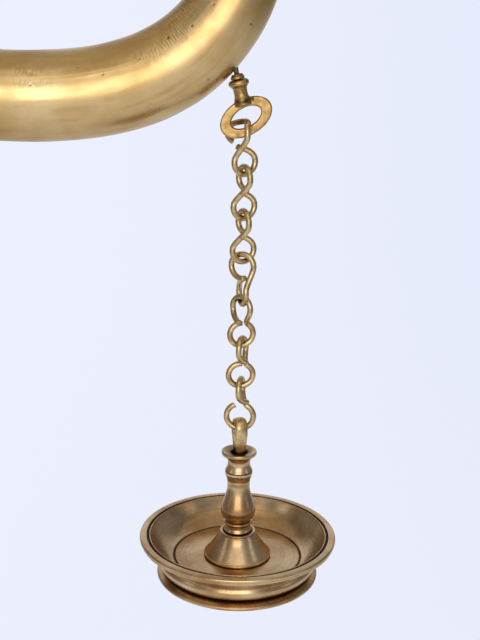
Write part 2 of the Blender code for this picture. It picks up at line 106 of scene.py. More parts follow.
class EyeSizes(bpy.types.PropertyGroup):
    """Sizes of the eye screws and their ferrules"""

    bow_length: length("Bow half length", 17.0, "Half the length of the oval bow")
    bow_width: length("Bow half width", 10.8, "Half the width of the oval bow")
    hole_length: length("Hole half length", 9.9, "Half the length of the bow's hole")
    hole_width: length("Hole half width", 5.5, "Half the width of the bow's hole")
    thickness: length("Thickness", 4.4, "Thickness of the bow")
    edge: length("Edge", 1.0, "Radius of the bow's worn edges")
    bow_tilt: turn("Bow tilt", 31, "Turn of the lower bows' long axis from the level")
    lean: turn("Lean", 13.4, "Lean of the lower necks towards the beam's middle")
    neck: length("Neck radius", 4.1, "Radius of the neck at its thinnest")
    collar: length("Collar radius", 6.3, "Radius of the collar bead")
    collar_foot: length("Collar foot", 18.6, "From the middle of the bow to the collar")
    collar_top: length("Collar top", 22.6, "From the middle of the bow to the collar's top")
    stud: length("Stud radius", 1.6, "Radius of the stud")
    ferrule: length("Ferrule length", 3.0, "Length of the ferrule on the stud")


class ChainSizes(bpy.types.PropertyGroup):
    """Sizes of the chain's wire and loops"""

    wire: length("Wire", 3.7, "Thickness of the wire")
    loop: length("Loop radius", 7.4, "Radius of a loop, to the middle of its wire")
    hook: length("Hook radius", 8.3, "Radius of the open hook that holds the pan")
    reach: length("Reach", 31.4, "From the top wire to the bottom wire of a link")
    drop: length("Hook drop", 1.8, "How much lower the open hook hangs than the other loops")
    pinch: length("Pinch", 3.2, "How far the wire runs straight on each side of the crossing")


class PanSizes(bpy.types.PropertyGroup):
    """Sizes of the pans"""

    radius: length("Pan radius", 65, "Outer radius of the pan's rim")
    rim_height: length("Rim height", 15.4, "Height of the rim above the floor")
    floor: length("Floor radius", 42, "Radius of the ring cut in the floor")
    foot: length("Foot radius", 53.5, "Radius of the foot")
    foot_depth: length("Foot depth", 12.7, "From the floor down to the underside of the foot")
    stem: length("Stem height", 74.2, "Height of the stem's flange above the floor")
    strap_width: length("Strap width", 8.2, "Width of the strap that makes the loop")
    strap: length("Strap thickness", 4.6, "Thickness of the strap")
    strap_turn: turn("Strap turn", -75, "Turn of the loop about the upright axis")
    strap_top: length("Strap bend", 4.69, "Radius of the loop's bend, to the middle of the strap")
    strap_leg: length("Strap leg", 3.04, "Distance of each leg from the middle, in the socket")


class Finishes(bpy.types.PropertyGroup):
    """Colours of the brass and of its tarnish"""

    beam_light: colour("Polished brass", "#E4C68C", "Polished cast brass where it is brightest")
    beam_dark: colour("Handled brass", "#C59B5A", "Polished cast brass where it has dulled")
    eye_light: colour("Cast brass", "#CBA668", "Cast brass of the eye screws")
    eye_dark: colour("Dull cast brass", "#94703E", "Cast brass where tarnish has set in")
    wire_light: colour("Wire brass", "#DEC38E", "Drawn brass wire")
    wire_dark: colour("Dull wire brass", "#B8965F", "Drawn brass wire where it has dulled")
    antique_light: colour("Antique brass", "#E2C392", "Turned brass with an antique finish")
    antique_dark: colour("Dull antique brass", "#B48A5C", "Antique brass where it is browner")
    # This colour paints both the patina in grooves and joints and the painted shade on inner
    # faces.
    patina_and_shade: colour("Patina", "#2B2119", "Brown-black patina left in the grooves")
    tarnish: colour("Tarnish", "#6E4A24", "Brown tarnish spots")


class StudioSizes(bpy.types.PropertyGroup):
    """Backdrop colours and light"""

    backdrop: colour("Backdrop", "#EDF0FE", "Colour of the backdrop on the left")
    # The right-hand colour is painted shade: the same paper, darker where less light reaches it.
    backdrop_shaded_right: colour("Backdrop right", "#E3E9F9", "Colour of the backdrop on the right")
    focal: FloatProperty(name="Lens", description="Focal length", default=63.0, unit="CAMERA")
    camera_pitch: turn("Pitch", 15.7, "How far the camera looks down")
    camera_roll: turn("Roll", 1.1, "How far the camera is turned about its own axis")


# ---------------------------------------- finish helpers

def per_metre(millimetres):
    """Texture scale that makes one feature that size, on coordinates in metres."""
    return 1000.0 / millimetres


def opaque(tone):
    return (*tone, 1.0)


def add_node(tree, kind, inputs=None, stops=None, **settings):
    """Add a node with its settings, and set or link each of its inputs."""
    node = tree.nodes.new(kind)
    for key, value in settings.items():
        setattr(node, key, value)
    for key, value in (inputs or {}).items():
        if isinstance(value, bpy.types.NodeSocket):
            tree.links.new(value, node.inputs[key])
        else:
            node.inputs[key].default_value = value
    for index, (place, tone) in enumerate(stops or []):
        ramp = node.color_ramp.elements
        stop = ramp[index] if index < 2 else ramp.new(place)
        stop.position = place
        stop.color = opaque((tone,) * 3 if isinstance(tone, float) else tone)
    return node


def start_finish(name):
    """An empty material, its tree, and the piece's own coordinates in metres."""
    material = bpy.data.materials.new(name)
    material.use_nodes = True
    tree = material.node_tree
    tree.nodes.clear()
    place = add_node(tree, "ShaderNodeTexCoord").outputs["Object"]
    return material, tree, place


def mottled(tree, place, size, detail, roughness, dark, light):
    """A tone that drifts in clouds of that many millimetres, and the clouds themselves.

    Dark and light each give where in the clouds a tone is reached, and its colour.
    """
    clouds = add_node(tree, "ShaderNodeTexNoise", {
        "Vector": place, "Scale": per_metre(size), "Detail": detail,
        "Roughness": roughness}).outputs["Fac"]
    tone = add_node(tree, "ShaderNodeValToRGB", {"Fac": clouds}, [dark, light])
    return tone.outputs["Color"], clouds


def grained(tree, along, around, detail):
    """Noise on a swept skin, whose map runs in metres along the piece and in turns round it.

    One feature is that many millimetres long, and that many of them go round.
    """
    skin = add_node(tree, "ShaderNodeUVMap", uv_map="skin")
    stretched = add_node(tree, "ShaderNodeMapping", {
        "Vector": skin.outputs["UV"], "Scale": (per_metre(along), around, 1.0)})
    return add_node(tree, "ShaderNodeTexNoise", {
        "Vector": stretched.outputs["Vector"], "Scale": 1.0, "Detail": detail}).outputs["Fac"]


def dulled(tree, tone, pattern, span, most, colour):
    """Lay a colour over a tone where a pattern runs high, and say how much covers it."""
    cover = add_node(tree, "ShaderNodeMapRange", {
        "Value": pattern, "From Min": span[0], "From Max": span[1], "To Max": most}).outputs[0]
    mixed = add_node(tree, "ShaderNodeMix", {0: cover, 6: tone, 7: opaque(colour)},
                     data_type="RGBA")
    return mixed.outputs[2], cover


def add_patina_and_shade(tree, place, tone, patina_and_shade):
    """Darken a tone by the mesh's per-point values: patina where polish never reaches, and painted
    shade on inner faces and under beads, with a broken edge.
    """
    reach = add_node(tree, "ShaderNodeAttribute", attribute_name="patina_and_shade").outputs["Fac"]
    patchy = add_node(tree, "ShaderNodeTexNoise", {
        "Vector": place, "Scale": per_metre(2.2), "Detail": 3.0}).outputs["Fac"]
    ragged = add_node(tree, "ShaderNodeMath", {0: patchy, 1: 0.55, 2: reach},
                      operation="MULTIPLY_ADD")
    return dulled(tree, tone, ragged.outputs[0], (0.46, 1.15), 0.92, patina_and_shade)


def pitted(tree, place, tone, colour, spacing, rim, deepest, patch, kept):
    """Small round pits, kept in some patches only: the tone with them, and their pattern.

    The spacing of the pits and the size of a patch are in millimetres.
    """
    cells = add_node(tree, "ShaderNodeTexVoronoi", {
        "Vector": place, "Scale": per_metre(spacing), "Randomness": 1.0})
    pit = add_node(tree, "ShaderNodeMapRange", {
        "Value": cells.outputs["Distance"], "From Min": rim[0], "From Max": rim[1],
        "To Min": deepest, "To Max": 0.0})
    patches = add_node(tree, "ShaderNodeTexNoise", {"Vector": place, "Scale": per_metre(patch)})
    some = add_node(tree, "ShaderNodeMapRange", {
        "Value": patches.outputs["Fac"], "From Min": kept[0], "From Max": kept[1]})
    pits = add_node(tree, "ShaderNodeMath", {0: pit.outputs[0], 1: some.outputs[0]},
                    operation="MULTIPLY").outputs[0]
    mixed = add_node(tree, "ShaderNodeMix", {0: pits, 6: tone, 7: opaque(colour)},
                     data_type="RGBA")
    return mixed.outputs[2], pits


def worn(tree, pattern, ends, cover=None, dulling=0.0):
    """Roughness that follows a pattern from one end to the other, and rises under patina."""
    spread = add_node(tree, "ShaderNodeMapRange", {
        "Value": pattern, "From Min": 0.3, "From Max": 0.7, "To Min": ends[0],
        "To Max": ends[1]})
    if cover is None:
        return spread.outputs[0]
    return add_node(tree, "ShaderNodeMath", {0: cover, 1: dulling, 2: spread.outputs[0]},
                    operation="MULTIPLY_ADD").outputs[0]


def close_finish(tree, tone, roughness, *reliefs):
    """Brass is a bare metal here: all of its colour is in its reflection.

    A relief is a pattern, its strength and its depth in millimetres, which is negative where the
    pattern is cut in.
    """
    normal = {}
    for pattern, strength, depth in reliefs:
        relief = add_node(tree, "ShaderNodeBump", {
            "Height": pattern, "Strength": strength, "Distance": abs(depth) * MM, **normal},
            invert=depth < 0)
        normal = {"Normal": relief.outputs[0]}
    metal = add_node(tree, "ShaderNodeBsdfPrincipled", {
        "Base Color": tone, "Metallic": 1.0, "Roughness": roughness, **normal})
    add_node(tree, "ShaderNodeOutputMaterial", {"Surface": metal.outputs["BSDF"]})


def polished_cast_brass(finish):
    """Cast brass, filed and then buffed by hand: bright, soft-edged reflections that ripple over
    shallow waves, fine cross marks left by the scraper, a few casting pits and brown spots."""
    material, tree, place = start_finish("polished cast brass")
    tone, clouds = mottled(tree, place, 52, 4.0, 0.55, (0.30, finish.beam_dark),
                           (0.62, finish.beam_light))
    tone, _ = dulled(tree, tone, grained(tree, 34, 34.0, 3.0), (0.50, 0.74), 0.65,
                     finish.beam_dark)
    tone, spots = pitted(tree, place, tone, finish.tarnish, spacing=12, rim=(0.04, 0.12),
                         deepest=0.85, patch=26, kept=(0.38, 0.46))
    skin = add_node(tree, "ShaderNodeUVMap", uv_map="skin")
    around = add_node(tree, "ShaderNodeSeparateXYZ", {"Vector": skin.outputs["UV"]})
    band = add_node(tree, "ShaderNodeValToRGB", {"Fac": around.outputs["Y"]}, [
        (0.0, 0.15), (0.035, 0.35), (0.10, 1.0), (0.20, 0.5), (0.28, 0.0), (0.93, 0.05)])
    patches = add_node(tree, "ShaderNodeTexNoise", {"Vector": place, "Scale": per_metre(24)})
    scraped = add_node(tree, "ShaderNodeMapRange", {
        "Value": patches.outputs["Fac"], "From Min": 0.34, "From Max": 0.56})
    # The scraper's own marks are finer than a millimetre. They are drawn this wide to show.
    marks = grained(tree, 1.5, 26.0, 1.0)
    for limit in (band.outputs["Color"], scraped.outputs[0]):
        marks = add_node(tree, "ShaderNodeMath", {0: marks, 1: limit},
                         operation="MULTIPLY").outputs[0]
    close_finish(tree, tone, worn(tree, clouds, (0.37, 0.22)),
                 (grained(tree, 22, 230.0, 2.0), 0.20, 0.06), (marks, 0.9, 0.45),
                 (spots, 0.8, -0.25))
    return material


def satin_cast_brass(finish):
    """Cast brass straight from a file and a quick rub: satin, slightly grainy, with scratches that
    lie across the faces, dark tarnish where the neck grows out of the bow, and painted shade under
    the collar bead and on the bow's edges in its hole."""
    material, tree, place = start_finish("satin cast brass")
    tone, clouds = mottled(tree, place, 6, 5.0, 0.6, (0.32, finish.eye_dark),
                           (0.60, finish.eye_light))
    tone, cover = add_patina_and_shade(tree, place, tone, finish.patina_and_shade)
    grain = add_node(tree, "ShaderNodeTexNoise", {
        "Vector": place, "Scale": per_metre(0.7), "Detail": 2.0})
    filed = add_node(tree, "ShaderNodeMapping", {
        "Vector": place, "Rotation": (0.0, math.radians(35), 0.0),
        "Scale": (per_metre(0.8), per_metre(8), per_metre(8))})
    scratches = add_node(tree, "ShaderNodeTexNoise", {
        "Vector": filed.outputs["Vector"], "Scale": 1.0, "Detail": 2.0})
    cut = add_node(tree, "ShaderNodeMapRange", {
        "Value": scratches.outputs["Fac"], "From Min": 0.58, "From Max": 0.72})
    close_finish(tree, tone, worn(tree, clouds, (0.38, 0.27), cover, 0.25),
                 (grain.outputs["Fac"], 0.15, 0.06), (cut.outputs[0], 0.30, -0.06))
    return material


def drawn_brass_wire(finish):
    """Wire pulled through a die, bent by hand: satin, with fine lines along its length, dull brown
    where the loops rub, and painted shade on the inner sides of loops and rings and between the
    strap's legs."""
    material, tree, place = start_finish("drawn brass wire")
    tone, clouds = mottled(tree, place, 5, 4.0, 0.6, (0.34, finish.wire_dark),
                           (0.60, finish.wire_light))
    tone, cover = add_patina_and_shade(tree, place, tone, finish.patina_and_shade)
    dents = add_node(tree, "ShaderNodeTexNoise", {
        "Vector": place, "Scale": per_metre(3.0), "Detail": 1.0})
    close_finish(tree, tone, worn(tree, clouds, (0.33, 0.25), cover, 0.25),
                 (grained(tree, 9, 24.0, 2.0), 0.12, 0.06), (dents.outputs["Fac"], 0.18, 0.10))
    return material


def turned_antique_brass(finish):
    """Cast brass turned on a lathe, darkened with a chemical patina and rubbed back: satin with
    fine rings from the tool, brown in broad patches and black in the cut grooves."""
    material, tree, place = start_finish("turned antique brass")
    parts = add_node(tree, "ShaderNodeSeparateXYZ", {"Vector": place})
    flat = add_node(tree, "ShaderNodeCombineXYZ", {
        "X": parts.outputs["X"], "Y": parts.outputs["Y"]})
    radius = add_node(tree, "ShaderNodeVectorMath", {0: flat.outputs[0]}, operation="LENGTH")
    ringed = add_node(tree, "ShaderNodeCombineXYZ", {
        "X": radius.outputs["Value"], "Y": parts.outputs["Z"]}).outputs[0]
    tone, _ = mottled(tree, place, 26, 4.0, 0.55, (0.34, finish.antique_dark),
                      (0.62, finish.antique_light))
    rubbed = add_node(tree, "ShaderNodeTexNoise", {
        "Vector": ringed, "Scale": per_metre(1.7), "Detail": 3.0}).outputs["Fac"]
    tone, _ = dulled(tree, tone, rubbed, (0.45, 0.75), 0.30, finish.antique_dark)
    tone, pores = pitted(tree, place, tone, finish.patina_and_shade, spacing=9, rim=(0.03, 0.06),
                         deepest=0.8, patch=15, kept=(0.56, 0.60))
    tone, cover = add_patina_and_shade(tree, place, tone, finish.patina_and_shade)
    # A lathe's rings are about a tenth of a millimetre apart. They are drawn wider to show.
    rings = add_node(tree, "ShaderNodeTexNoise", {
        "Vector": ringed, "Scale": per_metre(0.45), "Detail": 2.0})
    close_finish(tree, tone, worn(tree, rubbed, (0.21, 0.29), cover, 0.30),
                 (rings.outputs["Fac"], 0.12, 0.04), (pores, 0.7, -0.2))
    return material


FINISHES = {
    "cast_brass": ("polished cast brass", polished_cast_brass),
    "eye_brass": ("satin cast brass", satin_cast_brass),
    "wire_brass": ("drawn brass wire", drawn_brass_wire),
    "antique_brass": ("turned antique brass", turned_antique_brass),
}


def finish_for(slot):
    name, make = FINISHES[slot]
    return bpy.data.materials.get(name) or make(bpy.context.scene.scale_finishes)


# ---------------------------------------- mesh helpers

def turns(steps):
    """That many even steps round a full turn."""
    return [2 * math.pi * k / steps for k in range(steps)]


def middle_x(node):
    low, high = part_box(node)
    return (low.x + high.x) / 2


def new_object(name, points, faces):
    mesh = bpy.data.meshes.new(name)
    mesh.from_pydata([tuple(p) for p in points], [], faces)
    made = bpy.data.objects.new(name, mesh)
    bpy.context.scene.collection.objects.link(made)
    return made


def put_piece(name, points, faces, place, slot, body, node, patina_and_shade=None, skin=None, sharp=40):
    """Make a mesh piece that stands for a CAD node and moves with its body."""
    piece = new_object(name, points, faces)
    mesh = piece.data
    if patina_and_shade:
        layer = mesh.attributes.new("patina_and_shade", "FLOAT", "POINT")
        layer.data.foreach_set("value", patina_and_shade)
    if skin:
        layer = mesh.uv_layers.new(name="skin")
        corners = [skin(poly_index, k) for poly_index, face in enumerate(faces)
                   for k in range(len(face))]
        layer.data.foreach_set("uv", [value for corner in corners for value in corner])
    mesh.validate()
    mesh.shade_smooth()
    mesh.set_sharp_from_angle(angle=math.radians(sharp))
    mesh.materials.append(finish_for(slot))
    piece.matrix_world = place
    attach(piece, body)
    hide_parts(node)


def grid_faces(rows, columns, closed_rows):
    """Faces between rows of points, each row closed on itself, with a cap on each open end."""
    faces = []
    for i in range(rows if closed_rows else rows - 1):
        following = (i + 1) % rows
        for k in range(columns):
            beside = (k + 1) % columns
            faces.append((i * columns + k, i * columns + beside,
                          following * columns + beside, following * columns + k))
    if not closed_rows:
        faces.append(tuple(range(columns))[::-1])
        faces.append(tuple((rows - 1) * columns + k for k in range(columns)))
    return faces


def travel(line):
    """How far along a line each of its points lies."""
    distances = [0.0]
    for a, b in zip(line, line[1:]):
        distances.append(distances[-1] + (b - a).length)
    return distances


def tangent_at(line, i):
    return (line[min(i + 1, len(line) - 1)] - line[max(i - 1, 0)]).normalized()


def skin_map(rows, columns, distances):
    """Map of a swept skin: metres along it, and whole turns round it."""
    def corner(face, k):
        if face >= rows * columns:
            return (0.0, 0.0)
        row, column = divmod(face, columns)
        return (distances[row + (k in (2, 3))], (column + (k in (1, 2))) / columns)
    return corner


def soften(profile, reach, cuts=3):
    """A profile with each of its corners eased over that distance."""
    eased = [profile[0]]
    for before, here, after in zip(profile, profile[1:], profile[2:]):
        back, on = (before - here).xy.length, (after - here).xy.length
        cut = min(reach, back * 0.42, on * 0.42)
        start, end = here.lerp(before, cut / back), here.lerp(after, cut / on)
        for i in range(cuts + 1):
            t = i / cuts
            eased.append(start.lerp(here, t).lerp(here.lerp(end, t), t))
    return eased + [profile[-1]]


def flow(points, cuts=5):
    """A smooth line through the points."""
    line = []
    padded = [points[0] * 2 - points[1], *points, points[-1] * 2 - points[-2]]
    for a, b, c, d in zip(padded, padded[1:], padded[2:], padded[3:]):
        for i in range(cuts):
            t = i / cuts
            line.append(0.5 * (2 * b + (c - a) * t + (2 * a - 5 * b + 4 * c - d) * t ** 2
                               + (3 * b - a - 3 * c + d) * t ** 3))
    return line + [points[-1]]


def line_mm(*rows, out=0.0, up=0.0):
    """Profile points from rows of radius, height and patina, in millimetres from a radius and a
    height."""
    return [Vector(((out + r) * MM, (up + z) * MM, *(dark or (0.0,)))) for r, z, *dark in rows]


def turn_profile(profile, steps):
    """Points, faces and patina of a closed profile turned about the upright axis."""
    points, patina_and_shade, rows = [], [], []
    for radius, height, dark in profile:
        start = len(points)
        if radius < 1e-6:
            points.append(Vector((0, 0, height)))
            patina_and_shade.append(dark)
            rows.append([start] * steps)
            continue
        for angle in turns(steps):
            points.append(Vector((radius * math.cos(angle), radius * math.sin(angle), height)))
            patina_and_shade.append(dark)
        rows.append([start + k for k in range(steps)])
    open_ended = profile[0][0] < 1e-6 and profile[-1][0] < 1e-6
    pairs = list(zip(rows, rows[1:])) + ([] if open_ended else [(rows[-1], rows[0])])
    faces = []
    for low, high in pairs:
        for k in range(steps):
            beside = (k + 1) % steps
            face = tuple(dict.fromkeys((low[k], low[beside], high[beside], high[k])))
            if len(face) > 2:
                faces.append(face)
    return points, faces, patina_and_shade


def carried_frames(line):
    """A tangent, a normal and a binormal at each point of an open line, without twist."""
    frames = []
    normal = None
    for i in range(len(line)):
        tangent = tangent_at(line, i)
        if normal is None:
            start = UP if abs(tangent.z) < 0.8 else RIGHT
            normal = tangent.cross(start).normalized()
        normal = (normal - tangent * normal.dot(tangent)).normalized()
        frames.append((tangent, normal, tangent.cross(normal)))
    return frames


# ---------------------------------------- hanger and beam

ARCH_REACH = 1.5        # how much slower the top turns than it would as a plain half circle


def beam_line(sizes, per_side=150, fine=4):
    """Centre line of the beam's right half as (x, height, direction) from its lowest point.

    It is walked in short straight steps, and every few of them give one point.
    """
    step = math.pi / (per_side * fine)
    line, x, z, arch = [(0.0, 0.0, 0.0)], 0.0, 0.0, None
    for i in range(per_side * fine):
        direction = (i + 0.5) * step
        if direction < math.pi / 2:
            ease = math.cos(direction) ** sizes.bottom_sharpness
            bend = sizes.side_turn + (sizes.bottom_turn - sizes.side_turn) * ease
        else:
            if arch is None:
                arch = sizes.side_turn + (x - sizes.side_turn) * ARCH_REACH
            bend = sizes.side_turn + (arch - sizes.side_turn) * math.cos(direction) ** 2
        x += bend * math.cos(direction) * step
        z += bend * math.sin(direction) * step
        if (i + 1) % fine == 0:
            line.append((x, z, (i + 1) * step))
    line[-1] = (0.0, z, math.pi)
    return line


def tube_radius(sizes, direction):
    swell = max(math.cos(direction / 2), 0.0) ** sizes.taper
    return sizes.top_tube + (sizes.bottom_tube - sizes.top_tube) * swell


LONG_WAVE, SHORT_WAVE = 0.040, 0.016        # sizes of the waves in the tube's skin
CREST_TURN, CREST_WIDTH = 0.47, 0.055       # in radians round the tube, up from its front
CREST_WANDER, CREST_FADE = 0.11, 0.03       # how soon the crest strays, and comes and goes


def make_beam(sizes):
    """The tube, with the waves and the faint crest that casting and scraping left on it."""
    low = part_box("beam_ring")[0].z + sizes.bottom_tube
    right = beam_line(sizes)
    whole = right + [(-x, z, 2 * math.pi - d) for x, z, d in reversed(right[1:-1])]
    around = 112
    points, distances, travelled = [], [0.0], 0.0
    for index, (x, z, direction) in enumerate(whole):
        radius = tube_radius(sizes, min(direction, 2 * math.pi - direction))
        centre = Vector((x, 0.0, low + z))
        inward = Vector((-math.sin(direction), 0.0, math.cos(direction)))
        for angle in turns(around):
            out = math.sin(angle) * inward - math.cos(angle) * BACK
            here = centre + out * radius
            wave = noise.noise(here / LONG_WAVE) * 0.55 + noise.noise(here / SHORT_WAVE) * 0.22
            wander = CREST_TURN + 0.08 * noise.noise(here / CREST_WANDER)
            crest = math.exp(-((angle - wander) / CREST_WIDTH) ** 2)
            strength = 0.6 + 0.8 * noise.noise(here / CREST_FADE + Vector((3, 1, 2)))
            lift = (wave - 0.45) * sizes.waviness + crest * max(strength, 0) * sizes.crest
            points.append(here + out * lift * min(1.0, radius / sizes.bottom_tube + 0.2))
        nx, nz = whole[(index + 1) % len(whole)][:2]
        travelled += math.hypot(nx - x, nz - z)
        distances.append(travelled)
    faces = grid_faces(len(whole), around, True)
    put_piece("beam_shell", points, faces, Matrix.Identity(4), "cast_brass", "beam", "beam_ring",
              skin=skin_map(len(whole), around, distances), sharp=60)


def make_hanger(sizes):
    """The plain ring that the scale hangs from, bent from thick wire and brazed shut."""
    low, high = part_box("hanging_ring")
    middle = (low + high) / 2
    wire = sizes.hanger_wire / 2
    radius = (high.z - low.z) / 2 - wire
    stations, around, seam_turn = 96, 24, 2.2
    points, patina_and_shade, distances = [], [], [0.0]
    for i, angle in enumerate(turns(stations)):
        out = Vector((0.0, math.sin(angle), math.cos(angle)))
        seam = math.exp(-((angle - seam_turn) / 0.03) ** 2)
        for k, turn_angle in enumerate(turns(around)):
            across = out * math.cos(turn_angle) + RIGHT * math.sin(turn_angle)
            dent = 0.06 * MM * noise.noise(Vector((i * 0.21, k * 0.3, 5.0)))
            points.append(out * radius + across * (wire - 0.16 * MM * seam + dent - 0.05 * MM))
            # The brazed seam is dark patina; the ring's inner side is darkened as painted shade.
            patina_and_shade.append(0.9 * seam + 0.35 * max(0.0, -math.cos(turn_angle)))
        distances.append((i + 1) * 2 * math.pi * radius / stations)
    put_piece("hanging_ring_wire", points, grid_faces(stations, around, True),
              Matrix.Translation(middle), "wire_brass", "hanger", "hanging_ring", patina_and_shade,
              skin_map(stations, around, distances))


# ---------------------------------------- eye screws

def bow_ring(sizes, tilt):
    """The flat oval bow with worn edges, as points and faces."""
    stations, edge_cuts = 112, 4
    points = []
    half = sizes.thickness / 2
    for angle in turns(stations):
        c, s = math.cos(angle), math.sin(angle)
        outer = Vector((sizes.bow_length * c, 0, sizes.bow_width * s))
        inner = Vector((sizes.hole_length * c, 0, sizes.hole_width * s))
        middle, across = (outer + inner) / 2, (outer - inner) / 2
        span = across.length
        out = across.normalized()
        for quarter in range(4):
            corner_x = (1, 1, -1, -1)[quarter] * (span - sizes.edge)
            corner_y = (-1, 1, 1, -1)[quarter] * (half - sizes.edge)
            for cut in range(edge_cuts + 1):
                turned = math.radians(-90 + 90 * quarter + 90 * cut / edge_cuts)
                x = corner_x + sizes.edge * math.cos(turned)
                y = corner_y + sizes.edge * math.sin(turned)
                points.append(tilt @ (middle + out * x + BACK * y))
    return points, grid_faces(stations, 4 * (edge_cuts + 1), True)


TUBE_REACH = 28.0 * MM      # from the middle of a lower bow to the tube's skin
STUD_IN_TUBE = 5.8 * MM     # how far a stud goes on into the tube
FUSE_CELL = 0.26 * MM       # size of the cells that fuse a bow and its neck


def neck_profile(sizes, reach, stud_depth):
    """Neck, flared where it meets the bow, with its collar bead and stud."""
    width, foot = sizes.bow_width, sizes.collar_foot
    # Each row is a share of the neck's radius, then a height.
    root, *neck = [Vector((sizes.neck * wide, height, 0)) for wide, height in (
        (1.30, width - 3.4 * MM), (1.30, width - 2.6 * MM), (1.20, width + 0.2 * MM),
        (1.03, width + 2.4 * MM), (1.00, width + 4.2 * MM), (1.06, foot - 1.2 * MM),
        (1.22, foot - 0.1 * MM))]
    lower = [Vector((0.0, width - 3.6 * MM, 0)), root, *flow(neck)]
    bead_middle = (sizes.collar_foot + sizes.collar_top) / 2
    bead_half = (sizes.collar_top - sizes.collar_foot) / 2
    bead = []
    for i in range(9):
        angle = math.radians(-78 + 150 * i / 8)
        bead.append(Vector((sizes.collar - bead_half * (1 - math.cos(angle)),
                            bead_middle + bead_half * math.sin(angle), 0)))
    top = [
        Vector((sizes.collar - bead_half * 1.15, sizes.collar_top, 0)),
        Vector((sizes.stud, sizes.collar_top - 0.1 * MM, 0)),
        Vector((sizes.stud, reach + stud_depth, 0)), Vector((0.0, reach + stud_depth, 0)),
    ]
    return lower + bead + top


def cast_eye(name, place, tilt, reach, node, sizes):
    """One eye screw: bow and neck fused into one casting with soft inner corners."""
    points, faces = bow_ring(sizes, Matrix.Rotation(tilt, 4, "Y"))
    neck_points, neck_faces, _ = turn_profile(neck_profile(sizes, reach, STUD_IN_TUBE), 40)
    offset = len(points)
    faces += [tuple(i + offset for i in face) for face in neck_faces]
    rough = new_object(name + "_rough", points + neck_points, faces)
    fuse = rough.modifiers.new("Fuse", "REMESH")
    fuse.mode = "VOXEL"
    fuse.voxel_size = FUSE_CELL
    ease = rough.modifiers.new("Ease", "SMOOTH")
    ease.factor, ease.iterations = 0.5, 4
    depsgraph = bpy.context.evaluated_depsgraph_get()
    fused = rough.evaluated_get(depsgraph).to_mesh()
    points = [v.co.copy() for v in fused.vertices]
    faces = [tuple(p.vertices) for p in fused.polygons]
    normals = [v.normal.copy() for v in fused.vertices]
    rough.evaluated_get(depsgraph).to_mesh_clear()
    bpy.data.objects.remove(rough)
    patina_and_shade = []
    width = sizes.bow_width
    for index, (point, normal) in enumerate(zip(points, normals)):
        radius = math.hypot(point.x, point.y)
        joint = math.exp(-((point.z - width + 0.6 * MM) / (1.9 * MM)) ** 2) * (radius < 7.4 * MM)
        # Painted shade under the collar bead and on the bow's edge faces near the neck's axis,
        # inside the hole and on its rim; the joint and the stud carry patina.
        bead_shade = math.exp(-((point.z - sizes.collar_foot) / (0.7 * MM)) ** 2)
        stud = 0.9 if point.z > sizes.collar_top - 0.4 * MM else 0.0
        hole_shade = 0.55 if radius < sizes.hole_length and abs(normal.y) < 0.5 and point.z < width \
            else 0.0
        ragged = 0.75 + 0.5 * noise.noise(point / 0.003)
        patina_and_shade.append(min(1.0, max(joint * 0.95, bead_shade * 0.7, stud, hole_shade) * ragged))
        lump = noise.noise(point / 0.0035 + place.translation * 40) * 0.10 * MM
        points[index] = point + normal * (lump - 0.03 * MM)
    put_piece(name, points, faces, place, "eye_brass", "beam", node, patina_and_shade, sharp=75)


def make_ferrule(name, place, sizes, node):
    """The small cone on the stud, dark round its tip and foot."""
    foot = (sizes.collar_top + 0.3 * MM) / MM
    tip = sizes.ferrule / MM
    bore = (sizes.stud + 0.25 * MM) / MM
    profile = soften(line_mm(
        (bore, 0, 1), (4.1, 0, 0.9), (4.2, 0.5, 0.5), (4.15, 1.5), (3.6, 2.1, 0.2),
        (3.45, 2.5, 0.7), (3.5, 2.9, 0.2), (3.1, tip - 1.0, 0.3), (2.9, tip, 1), (bore, tip, 1),
        up=foot), 0.35 * MM)
    points, faces, patina_and_shade = turn_profile(profile, 48)
    put_piece(name, points, faces, place, "eye_brass", "beam", node, patina_and_shade)


def make_eyes(sizes):
    """The three eye screws with their ferrules, in the places that their CAD nodes have."""
    length_along = math.hypot(sizes.bow_length * math.cos(sizes.bow_tilt),
                              sizes.bow_width * math.sin(sizes.bow_tilt))
    depth_below = math.hypot(sizes.bow_length * math.sin(sizes.bow_tilt),
                             sizes.bow_width * math.cos(sizes.bow_tilt))
    for side, sign in (("right", 1), ("left", -1)):
        low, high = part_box(f"{side}_eye_screw")
        x = high.x - length_along if sign > 0 else low.x + length_along
        z = low.z + depth_below
        place = Matrix.Translation((x, 0, z)) @ Matrix.Rotation(-sign * sizes.lean, 4, "Y")
        tilt = -sign * (sizes.bow_tilt - sizes.lean)
        cast_eye(f"{side}_eye_screw_cast", place, tilt, TUBE_REACH, f"{side}_eye_screw", sizes)
        make_ferrule(f"{side}_eye_ferrule_turned", place, sizes, f"{side}_eye_ferrule")
    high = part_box("top_eye_screw")[1].z
    place = Matrix.Translation((0, 0, high - sizes.bow_width)) @ Matrix.Rotation(math.pi, 4, "Y")
    reach = sizes.collar_top + sizes.ferrule + 0.6 * MM
    cast_eye("top_eye_screw_cast", place, 0.0, reach, "top_eye_screw", sizes)
    make_ferrule("top_eye_ferrule_turned", place, sizes, "top_eye_ferrule")


# ---------------------------------------- chain

